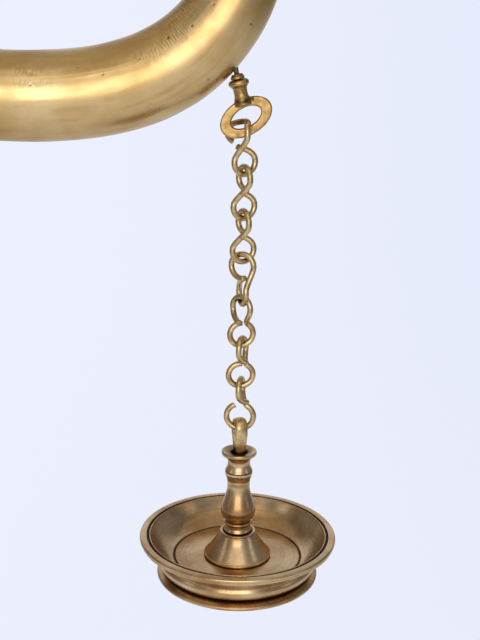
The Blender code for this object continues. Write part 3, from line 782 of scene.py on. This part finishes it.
# One row for each link: its upper loop, then its lower loop. Of each loop: which way its running
# side faces and which way its cut side faces, in degrees; how wide each of them stands, against
# the loop's radius; how the cut side ends; and how far that end drifts sideways, in millimetres.
# A number of degrees is a round end that stops there, and a share is an end that is drawn in
# towards the crossing that far.
LINK_SHAPES = (
    ((-78, 142, 0.86, 1.90, "round", 138, 0.0), (212, 32, 1, 1, "drawn", 1.22, -3.9)),
    ((-62, 118, 1, 1, "drawn", 0.90, 2.6), (210, 30, 1, 1, "drawn", 1.0, -3.9)),
    ((-64, 116, 1, 1, "drawn", 0.90, 2.6), (208, 28, 1, 1, "drawn", 1.0, -3.9)),
    ((-25, 155, 1, 1.06, "round", 204, -3.9), (-72, 108, 1, 0.9, "drawn", 1.0, -0.8)),
    ((-46, 138, 1, 1.05, "drawn", 1.16, -3.9), (14, 194, 1.02, 1.02, "round", 178, -0.4)),
    ((66, 256, 1, 0.85, "drawn", 1.02, -3.4), (8, 188, 1.06, 1.06, "round", 184, 0.6)),
    ((78, 258, 1, 0.85, "drawn", 1.10, -3.9), (-4, 176, 1.05, 1.05, "round", 157, 0.2)),
)
SIDE_TURN = 104          # where a drawn loop leaves its circle, in degrees from its seat
ROUND_TURN = 146         # where the running side of a round lower loop does
END_TURN = 95            # where the cut end of a round loop starts to drift
ARC_CUTS, END_CUTS, STRAND_CUTS = 44, 14, 14


def heading(degrees):
    angle = math.radians(degrees)
    return Vector((math.cos(angle), math.sin(angle), 0.0))


def loop_line(shape, radius, centre, direction, run_on):
    """One loop of a link, from its cut end over its seat to where it leaves for the crossing."""
    toward, away, near, far, style, amount, drift = shape
    out, back = heading(toward), heading(away)
    side = Vector((-out.y, out.x, 0.0)) * drift * MM
    closes = amount if style == "round" else SIDE_TURN
    swings = [-closes + (closes + run_on) * i / ARC_CUTS for i in range(ARC_CUTS + 1)]

    def on_circle(swing):
        angle = math.radians(swing)
        ease = min(1.0, max(0.0, 0.5 + swing / 90))
        across = out * near * ease - back * far * (1 - ease)
        height = direction * (centre + radius * math.cos(angle))
        return across * radius * math.sin(angle) + UP * height

    arc = [on_circle(swing) for swing in swings]
    if style == "round":
        return [point + side * (max(0.0, -swing - END_TURN) / (closes - END_TURN)) ** 1.4
                for point, swing in zip(arc, swings)]
    start = arc[0]
    control = start + (arc[0] - arc[1]).normalized() * radius * 0.62
    end = out * 0.5 * MM + UP * direction * 0.3 * MM
    tail = []
    for i in range(END_CUTS, 0, -1):
        t = amount * i / END_CUTS
        if t <= 1:
            point = start * (1 - t) ** 2 + control * 2 * t * (1 - t) + end * t ** 2
        else:
            point = end + (end - control) * 2 * (t - 1)
        tail.append(point + side * min(t, 1.0) ** 1.5)
    return tail + arc


def link_line(index, sizes, turned):
    """The wire of one figure-8 link, about the point midway between its two end wires.

    A turned link has its upper loop the other way round, to suit a bow that leans the other way.
    """
    upper, lower = LINK_SHAPES[index]
    if turned:
        upper = (180 - upper[0], 180 - upper[1], *upper[2:6], -upper[6])
    lower_radius, drop = (sizes.hook, sizes.drop) if index == LINKS - 1 else (sizes.loop, 0.0)
    reach = sizes.reach / 2 + 0.2 * MM
    run_on = ROUND_TURN if lower[4] == "round" else SIDE_TURN
    top = loop_line(upper, sizes.loop, reach - sizes.loop, 1, SIDE_TURN)
    bottom = loop_line(lower, lower_radius, reach + drop - lower_radius, -1, run_on)[::-1]
    leave = (top[-1] - top[-2]).normalized() * sizes.pinch
    arrive = (bottom[0] - bottom[1]).normalized() * sizes.pinch
    start, end = top[-1], bottom[0]
    strand = []
    for i in range(1, STRAND_CUTS):
        t = i / STRAND_CUTS
        strand.append(start * (1 - t) ** 3 + (start + leave) * 3 * t * (1 - t) ** 2
                      + (end + arrive) * 3 * t ** 2 * (1 - t) + end * t ** 3)
    return top + strand + bottom


SEAT_SHARES = (0.24, 0.76)      # where a link's wire passes its two seats


def make_link(name, place, line, wire, body, node, seed):
    """Skin of a bent wire with snipped ends, a little flattened where the pliers held it."""
    chance = random.Random(seed)
    around = 20
    distances = travel(line)
    total = distances[-1]
    slants = (chance.uniform(-0.5, 0.5), chance.uniform(-0.5, 0.5))
    points, patina_and_shade = [], []

    def from_seat(travelled):
        return min(abs(travelled - total * share) for share in SEAT_SHARES)

    def add_ring(here, axes, radius, travelled, slant, dark):
        tangent, normal, binormal = axes
        for angle in turns(around):
            out = normal * math.cos(angle) + binormal * math.sin(angle)
            uneven = 1 + 0.022 * noise.noise(Vector((travelled * 260, math.cos(angle), seed)))
            lean = tangent * slant * math.cos(angle) * radius
            points.append(here + out * radius * uneven + lean)
            # Painted shade on the side of the wire that faces the link's middle; near the seats,
            # where links rub, the extra darkening is wear.
            inner = max(0.0, -out.dot(here.normalized() if here.length else out))
            rub = max(0.0, 1 - from_seat(travelled) / (5 * MM)) * 0.55 * (inner > 0.3)
            patina_and_shade.append(min(1.0, dark + 0.30 * inner + rub))

    for here, axes, travelled in zip(line, carried_frames(line), distances):
        radius = wire / 2 * (1 - 0.03 * max(0.0, 1 - from_seat(travelled) / (4 * MM)))
        if 0 < travelled < total:
            fade_in = max(0.0, 1 - travelled / (2 * MM)) * slants[0]
            fade_out = max(0.0, 1 - (total - travelled) / (2 * MM)) * slants[1]
            add_ring(here, axes, radius, travelled, fade_in + fade_out, 0.0)
            continue
        # A snipped end: one ring at its face, and one just behind it that rounds its edge.
        rings = [(-0.02, 0.84), (0.22, 0.98)] if travelled == 0 else [(-0.22, 0.98), (0.02, 0.84)]
        for along, narrow in rings:
            add_ring(here + axes[0] * along * MM, axes, radius * narrow, travelled,
                     slants[travelled > 0], 0.3)
    rows = len(line) + 2
    put_piece(name, points, grid_faces(rows, around, False), place, "wire_brass", body, node,
              patina_and_shade, skin_map(rows - 1, around, [0.0, *distances, total]), sharp=50)


def make_chains(sizes):
    """Both chains, link by link."""
    for s, side in enumerate(SIDES):
        for index in range(LINKS):
            node = f"{side}_link_{index + 1}"
            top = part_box(node)[1].z - sizes.wire / 2
            middle = Vector((middle_x(f"{side}_pan_dish"), 0.0, top - sizes.reach / 2))
            line = link_line(index, sizes, side == "left" and index == 0)
            make_link(node + "_wire", Matrix.Translation(middle), line, sizes.wire, node, node,
                      seed=10 * s + index)


# ---------------------------------------- pans

def dish_profile(sizes):
    """Floor with its cut ring, sloping wall, grooved rim, moulded outside and waisted foot."""
    rim, edge = sizes.radius / MM, sizes.rim_height / MM
    ring = sizes.floor / MM
    waist = 48.6
    inside = flow([*line_mm((0.9, 0.25), (4.6, 1.6), (9, 5.0), (12.8, 9.6), out=ring),
                   *line_mm((-7.5, -1.6), out=rim, up=edge)], 6)
    outside = flow([*line_mm((-1.7, -4.7), (-5.2, -6.1, 0.1), (-9.6, -9.4, 0.1), out=rim, up=edge),
                    *line_mm((52.4, 3.2, 0.15), (51.3, 1.5, 0.45))], 5)
    bulge = flow(line_mm((51.5, 0.7, 0.25), (52.4, -1.3), (52.2, -3.6), (51.2, -5.6),
                         (49.9, -7.0, 0.1)), 5)
    return [
        *line_mm((4.3, 0, 0.3)),
        *line_mm((-14, 0), (-1.0, 0, 0.05), (-0.7, -0.05, 0.4), (-0.2, -0.7, 0.85),
                 (0.35, -0.7, 0.85), (0.7, 0.05, 0.45), out=ring),
        *inside,
        *soften(line_mm((-7.3, -1.2), (-7.0, -0.3), (-6.5, -0.1), (-6.15, -0.7, 0.9),
                        (-5.95, -1.3, 1), (-5.0, -1.3, 1), (-4.7, -0.35, 0.8), (-4.3, -0.05),
                        (-1.0, -0.15), (-0.25, -0.5), (0, -1.2), (-0.1, -2.3),
                        (-0.8, -2.7, 0.45), (-0.7, -3.2, 0.1), (-1.0, -4.2),
                        out=rim, up=edge), 0.3 * MM),
        *outside, *bulge,
        *line_mm((0.5, -7.5, 0.75), (-0.2, -7.8, 1), (-0.4, -8.2, 1), (-3.0, -8.2, 1),
                 (-3.2, -5.0, 0.6), out=waist),
        *line_mm((44.5, -2.8, 0.3), (4.3, -2.8, 0.2)),
    ]


def foot_profile(sizes):
    """The flared ring under the dish, with a rounded lower edge."""
    foot, depth = sizes.foot / MM, -sizes.foot_depth / MM
    flare = flow(line_mm((48.5, -8.55, 1), (49.3, -8.95, 0.95), (50.2, -9.3, 0.35),
                         (51.2, -9.6, 0.1), (foot - 0.9, -10.1)), 5)
    edge = line_mm((-0.7, -10.2), (-0.2, -10.7), (0, -11.4), (-0.2, depth + 0.3), (-0.8, depth),
                   (-6.7, depth, 0.3), (-7.5, depth + 0.6, 0.5), out=foot)
    return [*line_mm((foot - 7.5, -8.5, 1)), *flare, *soften(edge, 0.3 * MM)]


def bell_profile():
    """The bell under the stem, with a shoulder and a rolled lower edge."""
    skirt = flow(line_mm((11.7, 16.3, 0.25), (12.4, 15.2), (14.3, 11.8), (16.4, 8.6),
                         (18.6, 5.6), (20.6, 3.0), (21.4, 2.1, 0.2)), 6)
    return [
        *line_mm((4.3, 17.3, 1), (9.6, 17.3, 1)),
        *soften(line_mm((9.9, 17.5, 0.75), (10.4, 17.75, 0.1), (11.2, 17.75), (11.8, 17.4),
                        (11.9, 16.8), (11.6, 16.45, 0.5)), 0.2 * MM),
        *skirt,
        *soften(line_mm((21.6, 1.9, 0.3), (22.0, 1.8), (22.3, 1.3), (22.2, 0.7), (21.9, 0.32, 1),
                        (4.3, 0.32, 1)), 0.25 * MM),
    ]


def stem_profile(sizes):
    """Socket, flange, knop with its cut line, waist, bulb and collar, and the tenon below."""
    top = sizes.stem / MM
    floor = -12.8 - 2.8     # the socket's floor, below the flange's top
    flange = soften(line_mm(
        (0, floor, 1), (5.2, floor, 1), (5.2, -1.9, 1), (5.35, -1.35, 0.95), (6.6, -1.05, 0.55),
        (8.8, -0.65, 0.35), (10.0, -0.2, 0.1), (10.7, -0.02), (11.25, -0.2), (11.5, -0.8),
        (11.5, -1.9), (11.2, -2.5), (10.4, -2.9, 0.35), (9.7, -3.1, 0.6), up=top), 0.35 * MM)
    neck = flow(line_mm((9.2, -3.6, 0.5), (8.0, -5.0, 0.25), (7.4, -7.2), (7.4, -9.4),
                        (8.0, -11.5), (8.85, -13.1), up=top), 5)
    line = line_mm((8.95, -13.5, 0.4), (8.55, -13.75, 1), (8.55, -14.1, 1), (8.98, -14.35, 0.4),
                   up=top)
    knop = flow(line_mm((9.0, 59.7), (8.95, 58.4), (8.45, 56.4), (7.85, 55.0),
                        (7.7, 54.4, 0.1)), 5)
    cut = line_mm((7.55, 54.25, 0.75), (7.5, 54.0, 0.75), (7.6, 53.8, 0.1))
    bulb = flow(line_mm((7.5, 52.9), (7.3, 49.4), (7.9, 45.4), (9.3, 40.8), (10.8, 36.4),
                        (11.4, 32.8), (11.2, 30.4), (10.4, 28.2), (9.0, 26.4),
                        (8.4, 25.7, 0.3)), 6)
    collar = soften(line_mm(
        (8.15, 25.5, 0.9), (8.2, 25.2, 0.9), (8.9, 24.95, 0.2), (9.5, 24.5), (9.65, 24.0),
        (9.4, 23.5), (8.8, 23.2, 0.4), (8.3, 22.4, 0.25), (8.15, 21.5, 0.1), (8.3, 20.5),
        (8.7, 19.4), (9.1, 18.7, 0.15), (9.2, 18.3, 0.7), (9.0, 18.1, 1), (4.0, 18.1, 1)),
        0.3 * MM)
    tenon = line_mm((4.0, -8.0, 0.5), (0, -8.0, 0.5))
    return flange + neck + line + knop + cut + bulb + collar + tenon


def nut_points():
    """A turned round nut with chamfered edges and two flats for a spanner."""
    profile = soften(line_mm((4.3, -3.1, 0.8), (7.0, -3.1, 0.6), (7.5, -3.5), (7.5, -6.6),
                             (6.9, -7.1), (5.0, -7.1, 0.1), (4.3, -6.8, 0.7)), 0.25 * MM)
    points, faces, patina_and_shade = turn_profile(profile, 64)
    for point in points:
        point.x = max(-6.7 * MM, min(6.7 * MM, point.x))
    return points, faces, patina_and_shade


def strap_line(sizes, drop, foot):
    """Middle line of the bent strap in its own upright plane, from one foot over to the other."""
    bend = sizes.strap_top
    arch = -bend - sizes.strap / 2
    leg = [Vector((sizes.strap_leg, 0, foot)), Vector((sizes.strap_leg, 0, -drop)),
           Vector((sizes.strap_leg + (bend - sizes.strap_leg) * 0.6, 0, -drop * 0.68)),
           Vector((bend * 0.99, 0, -drop * 0.45)), Vector((bend, 0, arch - 1.2 * MM))]
    leg = flow(leg, 7)[:-1]
    over = [Vector((bend * math.cos(a), 0, arch + bend * math.sin(a)))
            for a in (math.pi * i / 20 for i in range(21))]
    return leg + over + [Vector((-p.x, 0, p.z)) for p in reversed(leg)]


def make_strap(name, place, sizes, drop, foot, body, node):
    """The loop: a heavy strap with rounded edges, bent double and hammered down a little."""
    line = strap_line(sizes, drop, foot)
    around, squareness, socket_taper = 28, 0.82, 0.76
    points, patina_and_shade = [], []
    for i, here in enumerate(line):
        out = tangent_at(line, i).cross(BACK).normalized()
        level = min(1.0, max(0.0, (here.z + drop) / drop))
        taper = socket_taper + (1 - socket_taper) * min(1.0, level / 0.5)
        width = sizes.strap_width / 2 * taper * (1 + 0.02 * noise.noise(here / 0.006))
        half = sizes.strap / 2 * taper * (
            1 + 0.03 * noise.noise(here / 0.004 + Vector((4, 0, 0))))
        for angle in turns(around):
            c, s = math.cos(angle), math.sin(angle)
            y = math.copysign(abs(c) ** squareness, c) * width
            x = math.copysign(abs(s) ** squareness, s) * half
            points.append(here + BACK * y + out * x)
            # Painted shade on the faces of the legs that look at each other; the strap is also
            # darker round the socket's mouth and inside the socket.
            inside = max(0.0, out.x * s * -math.copysign(1, here.x)) if level > 0 else 0.0
            low = math.exp(-((here.z + drop + 0.5 * MM) / (2.0 * MM)) ** 2)
            patina_and_shade.append(min(1.0, 0.5 * inside + low + (here.z < -drop)))
    put_piece(name, points, grid_faces(len(line), around, False), place, "wire_brass", body, node,
              patina_and_shade, skin_map(len(line) - 1, around, travel(line)), sharp=50)


def make_pans(sizes):
    """Both pans, each of six pieces on one axis."""
    profiles = {
        "dish": (dish_profile(sizes), 192), "foot_ring": (foot_profile(sizes), 160),
        "bell": (bell_profile(), 128), "stem": (stem_profile(sizes), 96),
    }
    for side in SIDES:
        body = f"{side}_pan"
        dish = f"{side}_pan_dish"
        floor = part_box(dish)[1].z - sizes.rim_height
        place = Matrix.Translation((middle_x(dish), 0, floor))
        for part, (profile, steps) in profiles.items():
            points, faces, patina_and_shade = turn_profile(profile, steps)
            put_piece(f"{body}_{part}_turned", points, faces, place, "antique_brass", body,
                      f"{body}_{part}", patina_and_shade, sharp=50)
        points, faces, patina_and_shade = nut_points()
        put_piece(f"{body}_nut_turned", points, faces, place, "eye_brass", body, f"{body}_nut",
                  patina_and_shade)
        low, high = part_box(f"{body}_loop")
        top = Matrix.Translation((middle_x(dish), 0, high.z))
        upright = top @ Matrix.Rotation(sizes.strap_turn, 4, "Z")
        drop = high.z - floor - sizes.stem
        make_strap(f"{body}_loop_strap", upright, sizes, drop, low.z - high.z, body,
                   f"{body}_loop")


# ---------------------------------------- studio

def make_cove():
    """A pale sweep all round: a floor that curves up into a wall, with no line between them."""
    radius, bend, floor, top = 3.4, 1.0, -1.15, 2.6
    floor_cuts, bend_cuts, steps = 6, 12, 96
    profile = [((radius - bend) * i / floor_cuts, floor) for i in range(floor_cuts + 1)]
    for i in range(1, bend_cuts + 1):
        angle = math.pi / 2 * i / bend_cuts
        profile.append((radius - bend + bend * math.sin(angle),
                        floor + bend * (1 - math.cos(angle))))
    profile.append((radius, top))
    points = [(out * math.cos(angle), out * math.sin(angle), height)
              for out, height in profile for angle in turns(steps)]
    faces = []
    for i in range(len(profile) - 1):
        for k in range(steps):
            beside = (k + 1) % steps
            faces.append((i * steps + k, (i + 1) * steps + k, (i + 1) * steps + beside,
                          i * steps + beside))
    cove = new_object("studio_cove", points, faces)
    cove.data.shade_smooth()
    return cove


def paper_sweep(studio):
    """Seamless paper, evenly lit: it shows its own pale tone, painted a little darker towards the
    right as shade, and lights the brass more gently from the front and from below than from
    behind."""
    material, tree, place = start_finish("seamless paper")
    parts = add_node(tree, "ShaderNodeSeparateXYZ", {"Vector": place})
    # Painted shade: the paper's tone darkens towards the right.
    across = add_node(tree, "ShaderNodeMapRange", {
        "Value": parts.outputs["X"], "From Min": -0.6, "From Max": 1.6})
    tone = add_node(tree, "ShaderNodeMix", {
        0: across.outputs[0], 6: opaque(studio.backdrop), 7: opaque(studio.backdrop_shaded_right)},
        data_type="RGBA").outputs[2]
    depth = add_node(tree, "ShaderNodeValToRGB", {"Fac": add_node(tree, "ShaderNodeMapRange", {
        "Value": parts.outputs["Y"], "From Min": -3.4, "From Max": 3.4}).outputs[0]}, [
            (0.0, 1.05), (0.35, 0.92), (0.60, 0.70), (1.0, 0.82)])
    height = add_node(tree, "ShaderNodeMapRange", {
        "Value": parts.outputs["Z"], "From Min": 0.9, "From Max": 2.6,
        "To Min": 1.0, "To Max": 0.60})
    aside = add_node(tree, "ShaderNodeMath", {0: parts.outputs["X"]}, operation="ABSOLUTE")
    flank = add_node(tree, "ShaderNodeMapRange", {
        "Value": aside.outputs[0], "From Min": 1.1, "From Max": 2.6,
        "To Min": 1.0, "To Max": 0.35})
    glow = depth.outputs["Color"]
    for limit in (height, flank):
        glow = add_node(tree, "ShaderNodeMath", {0: glow, 1: limit.outputs[0]},
                        operation="MULTIPLY").outputs[0]
    seen = add_node(tree, "ShaderNodeLightPath").outputs["Is Camera Ray"]
    strength = add_node(tree, "ShaderNodeMix", {0: seen, 2: glow, 3: 1.0}, data_type="FLOAT")
    paper = add_node(tree, "ShaderNodeEmission", {
        "Color": tone, "Strength": strength.outputs[0]})
    add_node(tree, "ShaderNodeOutputMaterial", {"Surface": paper.outputs[0]})
    return material


def soft_light(name, place, aim, width, height, radiance, tone):
    """A soft box: its power follows from its area and how bright its face is."""
    lamp = bpy.data.lights.new(name, "AREA")
    lamp.shape = "RECTANGLE"
    lamp.size, lamp.size_y = width, height
    lamp.energy = radiance * math.pi * width * height
    lamp.color = tone
    box = bpy.data.objects.new(name, lamp)
    bpy.context.scene.collection.objects.link(box)
    box.location = place
    box.rotation_euler = (Vector(aim) - Vector(place)).to_track_quat("-Z", "Y").to_euler()
    box.visible_camera = False


def make_studio(studio):
    """Backdrop, soft boxes, sky and camera."""
    scene = bpy.context.scene
    cove = make_cove()
    cove.data.materials.append(paper_sweep(studio))
    middle = (0.12, 0.0, -0.38)
    warm, cool = (1.0, 0.97, 0.92), (0.93, 0.96, 1.0)
    for name, place, width, height, radiance, tone in (
            ("front_soft_box", (0.05, -1.75, 0.05), 1.4, 1.0, 1.60, warm),
            ("top_soft_box", (0.05, -1.10, 1.10), 1.9, 0.9, 0.62, warm),
            ("left_soft_box", (-1.7, -0.7, 0.3), 0.4, 1.3, 0.6, cool),
            ("right_soft_box", (1.9, -0.5, 0.2), 0.4, 1.2, 0.6, cool)):
        soft_light(name, place, middle, width, height, radiance, tone)
    sky = bpy.data.worlds.new("studio ceiling")
    sky.use_nodes = True
    ceiling = sky.node_tree.nodes["Background"].inputs
    ceiling["Color"].default_value = (0.46, 0.43, 0.40, 1.0)
    ceiling["Strength"].default_value = 1.0
    scene.world = sky
    scene.view_settings.view_transform = "Standard"
    lens = bpy.data.cameras.new("camera")
    lens.lens = studio.focal
    lens.sensor_width = 36.0
    lens.clip_start, lens.clip_end = 0.05, 20.0
    camera = bpy.data.objects.new("camera", lens)
    scene.collection.objects.link(camera)
    left_of_chain, away, height = 0.0011, 0.680, -0.2322
    camera.matrix_world = (
        Matrix.Translation((middle_x("right_pan_dish") - left_of_chain, -away, height))
        @ Matrix.Rotation(math.pi / 2 - studio.camera_pitch, 4, "X")
        @ Matrix.Rotation(studio.camera_roll, 4, "Z"))
    scene.camera = camera


# ---------------------------------------- operators and panel

class SCALE_OT_beam(bpy.types.Operator):
    """Add the crescent beam"""

    bl_idname = "balance_scale.beam"
    bl_label = "Beam"

    def execute(self, context):
        make_beam(context.scene.scale_beam)
        return {"FINISHED"}


class SCALE_OT_hanger(bpy.types.Operator):
    """Add the ring that the scale hangs from"""

    bl_idname = "balance_scale.hanger"
    bl_label = "Hanging ring"

    def execute(self, context):
        make_hanger(context.scene.scale_beam)
        return {"FINISHED"}


class SCALE_OT_eyes(bpy.types.Operator):
    """Add the three eye screws with their ferrules"""

    bl_idname = "balance_scale.eyes"
    bl_label = "Eye screws"

    def execute(self, context):
        make_eyes(context.scene.scale_eyes)
        return {"FINISHED"}


class SCALE_OT_chains(bpy.types.Operator):
    """Add both chains of figure-8 links"""

    bl_idname = "balance_scale.chains"
    bl_label = "Chains"

    def execute(self, context):
        make_chains(context.scene.scale_chain)
        return {"FINISHED"}


class SCALE_OT_pans(bpy.types.Operator):
    """Add both pans with their stems, loops and nuts"""

    bl_idname = "balance_scale.pans"
    bl_label = "Pans"

    def execute(self, context):
        make_pans(context.scene.scale_pan)
        return {"FINISHED"}


class SCALE_OT_studio(bpy.types.Operator):
    """Add the pale backdrop, the soft light and the camera"""

    bl_idname = "balance_scale.studio"
    bl_label = "Studio"

    def execute(self, context):
        make_studio(context.scene.scale_studio)
        return {"FINISHED"}


class SCALE_PT_sidebar(bpy.types.Panel):
    """Buttons that add each piece of the scale"""

    bl_label = "Balance scale"
    bl_idname = "SCALE_PT_sidebar"
    bl_space_type = "VIEW_3D"
    bl_region_type = "UI"
    bl_category = "Balance scale"

    def draw(self, context):
        for operator in OPERATORS:
            self.layout.operator(operator.bl_idname)
        for attribute, group in SETTINGS.items():
            box = self.layout.box()
            box.label(text=group.__doc__)
            for name in group.__annotations__:
                box.prop(getattr(context.scene, attribute), name)


OPERATORS = (SCALE_OT_beam, SCALE_OT_hanger, SCALE_OT_eyes, SCALE_OT_chains, SCALE_OT_pans,
             SCALE_OT_studio)
SETTINGS = {
    "scale_beam": BeamSizes, "scale_eyes": EyeSizes, "scale_chain": ChainSizes,
    "scale_pan": PanSizes, "scale_finishes": Finishes, "scale_studio": StudioSizes,
}


def register():
    for group in SETTINGS.values():
        bpy.utils.register_class(group)
    for attribute, group in SETTINGS.items():
        setattr(bpy.types.Scene, attribute, PointerProperty(type=group))
    for item in (*OPERATORS, SCALE_PT_sidebar):
        bpy.utils.register_class(item)


def unregister():
    for item in (SCALE_PT_sidebar, *reversed(OPERATORS)):
        bpy.utils.unregister_class(item)
    for attribute, group in SETTINGS.items():
        delattr(bpy.types.Scene, attribute)
        bpy.utils.unregister_class(group)


def main():
    register()
    for piece in ("studio", "beam", "hanger", "eyes", "chains", "pans"):
        getattr(bpy.ops.balance_scale, piece)()


if __name__ == "__main__":
    main()
